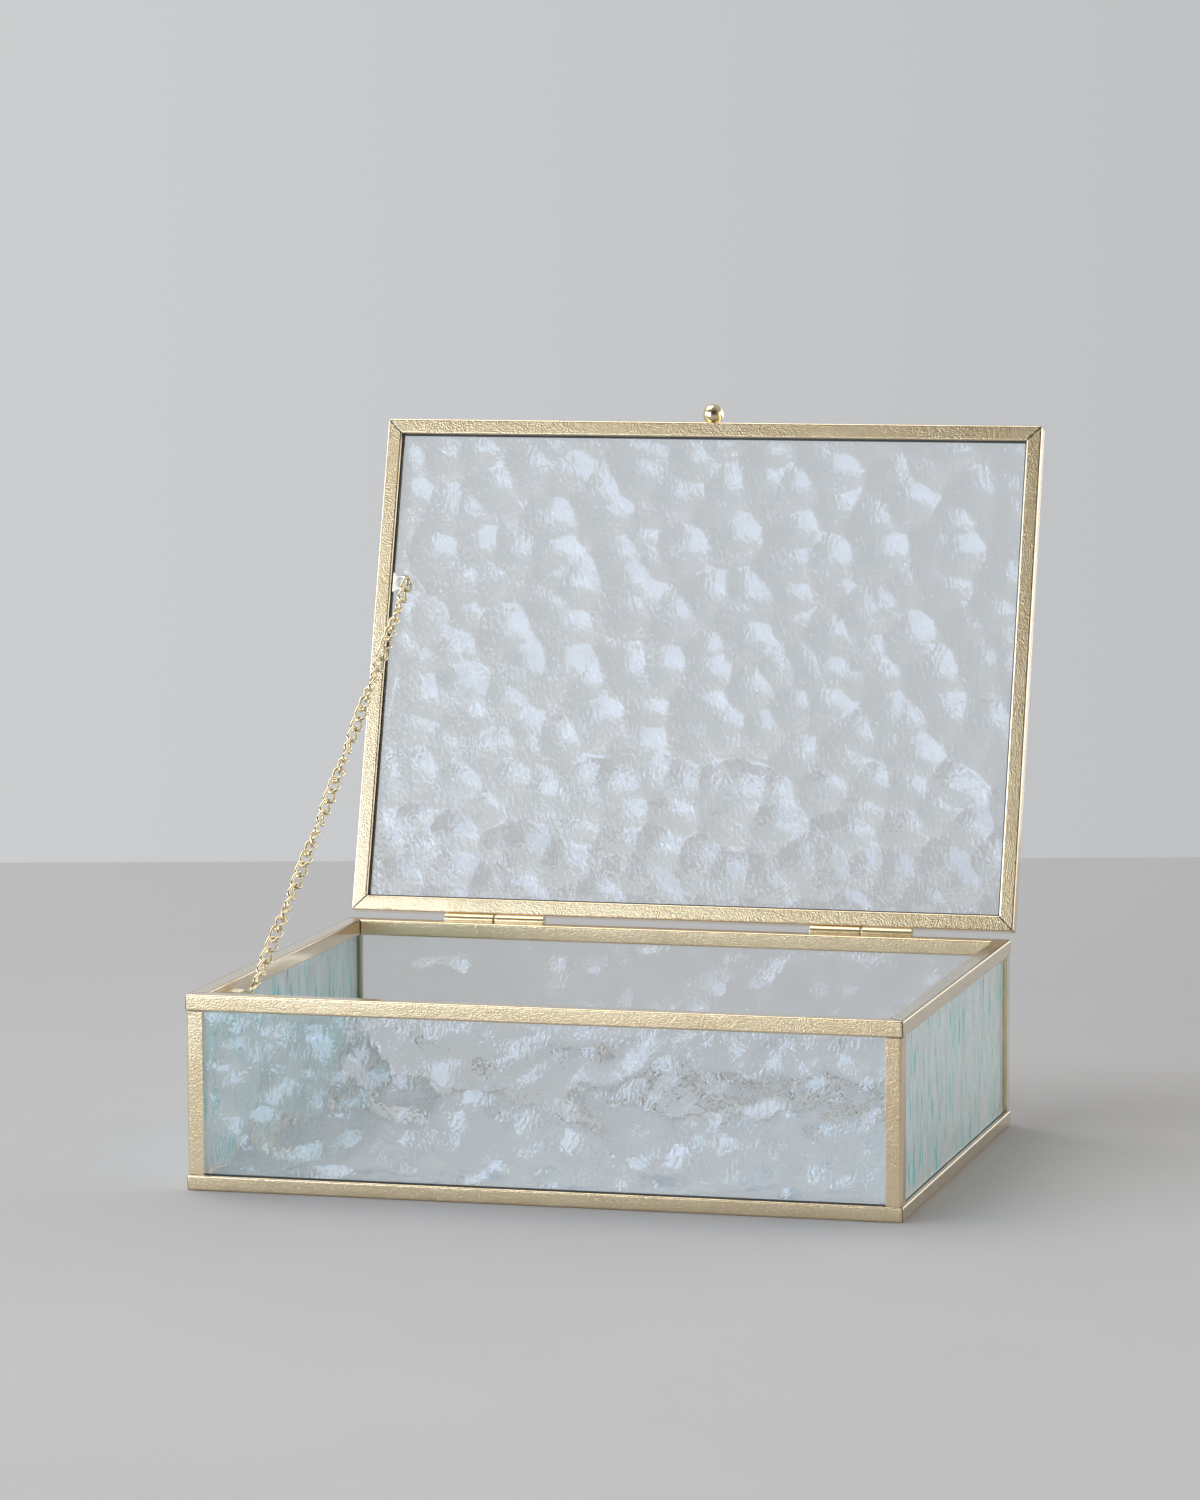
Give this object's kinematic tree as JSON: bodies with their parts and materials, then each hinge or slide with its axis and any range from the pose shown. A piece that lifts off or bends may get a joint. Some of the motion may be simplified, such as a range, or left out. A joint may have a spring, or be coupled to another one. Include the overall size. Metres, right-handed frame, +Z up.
{
  "type": "keepsake box",
  "caption": "Rectangular trinket box of clear rippled glass in a satin gold frame, with a back-hinged glass lid, a ball knob and a chain that holds the lid open.",
  "frame": {"origin": "centre of the base's underside, level with the surface that the box stands on", "axes": "+Z up, -Y towards the front where the knob is, +X to the right as seen from the front"},
  "size_m": [0.203, 0.2053, 0.2079],
  "materials": {
    "gold_frame": "satin, fine orange-peel grain",
    "polished_gold": "polished",
    "hinge_metal": "satin",
    "rippled_glass": "clear, rippled on both faces"
  },
  "bodies": {
    "base": {"base_bottom_rail_front": "gold_frame", "base_bottom_rail_right": "gold_frame", "base_bottom_rail_back": "gold_frame", "base_bottom_rail_left": "gold_frame", "base_top_rail_front": "gold_frame", "base_top_rail_right": "gold_frame", "base_top_rail_back": "gold_frame", "base_top_rail_left": "gold_frame", "corner_post_front_left": "gold_frame", "corner_post_front_right": "gold_frame", "corner_post_back_left": "gold_frame", "corner_post_back_right": "gold_frame", "glass_front": "rippled_glass", "glass_back": "rippled_glass", "glass_left": "rippled_glass", "glass_right": "rippled_glass", "glass_floor": "rippled_glass", "base_knuckle_left": "hinge_metal", "base_knuckle_right": "hinge_metal", "hinge_pin_left": "hinge_metal", "hinge_pin_right": "hinge_metal", "base_chain_ear": "polished_gold"},
    "lid": {"lid_rail_front": "gold_frame", "lid_rail_right": "gold_frame", "lid_rail_back": "gold_frame", "lid_rail_left": "gold_frame", "lid_glass": "rippled_glass", "lid_knob": "polished_gold", "lid_knuckle_left": "hinge_metal", "lid_knuckle_right": "hinge_metal", "lid_chain_ear": "polished_gold"},
    "run_upper_1": {"chain_upper_1": "polished_gold"},
    "run_upper_2": {"chain_upper_2": "polished_gold"},
    "run_upper_3": {"chain_upper_3": "polished_gold"},
    "run_upper_4": {"chain_upper_4": "polished_gold"},
    "run_lower_1": {"chain_lower_1": "polished_gold"},
    "run_lower_2": {"chain_lower_2": "polished_gold"},
    "run_lower_3": {"chain_lower_3": "polished_gold"},
    "run_lower_4": {"chain_lower_4": "polished_gold"}
  },
  "joints": [
    {"name": "lid_hinge", "type": "hinge", "parent": "base", "child": "lid", "pos_m": [0, 0.0784, 0.05515], "axis": [1, 0, 0], "range_deg": [0, 106.5], "deforming": ["chain_upper_1", "chain_upper_2", "chain_upper_3", "chain_upper_4", "chain_lower_1", "chain_lower_2", "chain_lower_3", "chain_lower_4"]},
    {"name": "run_upper_1_hook", "type": "hinge", "parent": "lid", "child": "run_upper_1", "pos_m": [-0.0916, 0.10832, 0.15371], "axis": [1, 0, 0], "range_deg": [-26.46, 0]},
    {"name": "run_upper_2_hook", "type": "hinge", "parent": "run_upper_1", "child": "run_upper_2", "pos_m": [-0.0916, 0.09353, 0.14393], "axis": [1, 0, 0], "range_deg": [0, 17.16]},
    {"name": "run_upper_3_hook", "type": "hinge", "parent": "run_upper_2", "child": "run_upper_3", "pos_m": [-0.0916, 0.07787, 0.13358], "axis": [1, 0, 0], "range_deg": [0, 20.44]},
    {"name": "run_upper_4_hook", "type": "hinge", "parent": "run_upper_3", "child": "run_upper_4", "pos_m": [-0.0916, 0.06222, 0.12323], "axis": [1, 0, 0], "range_deg": [0, 18.48]},
    {"name": "run_lower_1_hook", "type": "hinge", "parent": "base", "child": "run_lower_1", "pos_m": [-0.0916, -0.0465, 0.05135], "axis": [1, 0, 0], "range_deg": [-126.04, 0]},
    {"name": "run_lower_2_hook", "type": "hinge", "parent": "run_lower_1", "child": "run_lower_2", "pos_m": [-0.0916, -0.0317, 0.06113], "axis": [1, 0, 0], "range_deg": [0, 14.23]},
    {"name": "run_lower_3_hook", "type": "hinge", "parent": "run_lower_2", "child": "run_lower_3", "pos_m": [-0.0916, -0.01605, 0.07148], "axis": [1, 0, 0], "range_deg": [0, 53.69]},
    {"name": "run_lower_4_hook", "type": "hinge", "parent": "run_lower_3", "child": "run_lower_4", "pos_m": [-0.0916, -0.00039, 0.08183], "axis": [1, 0, 0], "range_deg": [0, 30.3]}
  ],
  "couplings": [
    {"joint": "run_upper_1_hook", "follows": "lid_hinge", "ratio": -0.24798},
    {"joint": "run_upper_2_hook", "follows": "lid_hinge", "ratio": 0.16063},
    {"joint": "run_upper_3_hook", "follows": "lid_hinge", "ratio": 0.19147},
    {"joint": "run_upper_4_hook", "follows": "lid_hinge", "ratio": 0.17302},
    {"joint": "run_lower_1_hook", "follows": "lid_hinge", "ratio": -1.183},
    {"joint": "run_lower_2_hook", "follows": "lid_hinge", "ratio": 0.13311},
    {"joint": "run_lower_3_hook", "follows": "lid_hinge", "ratio": 0.50365},
    {"joint": "run_lower_4_hook", "follows": "lid_hinge", "ratio": 0.28402}
  ]
}
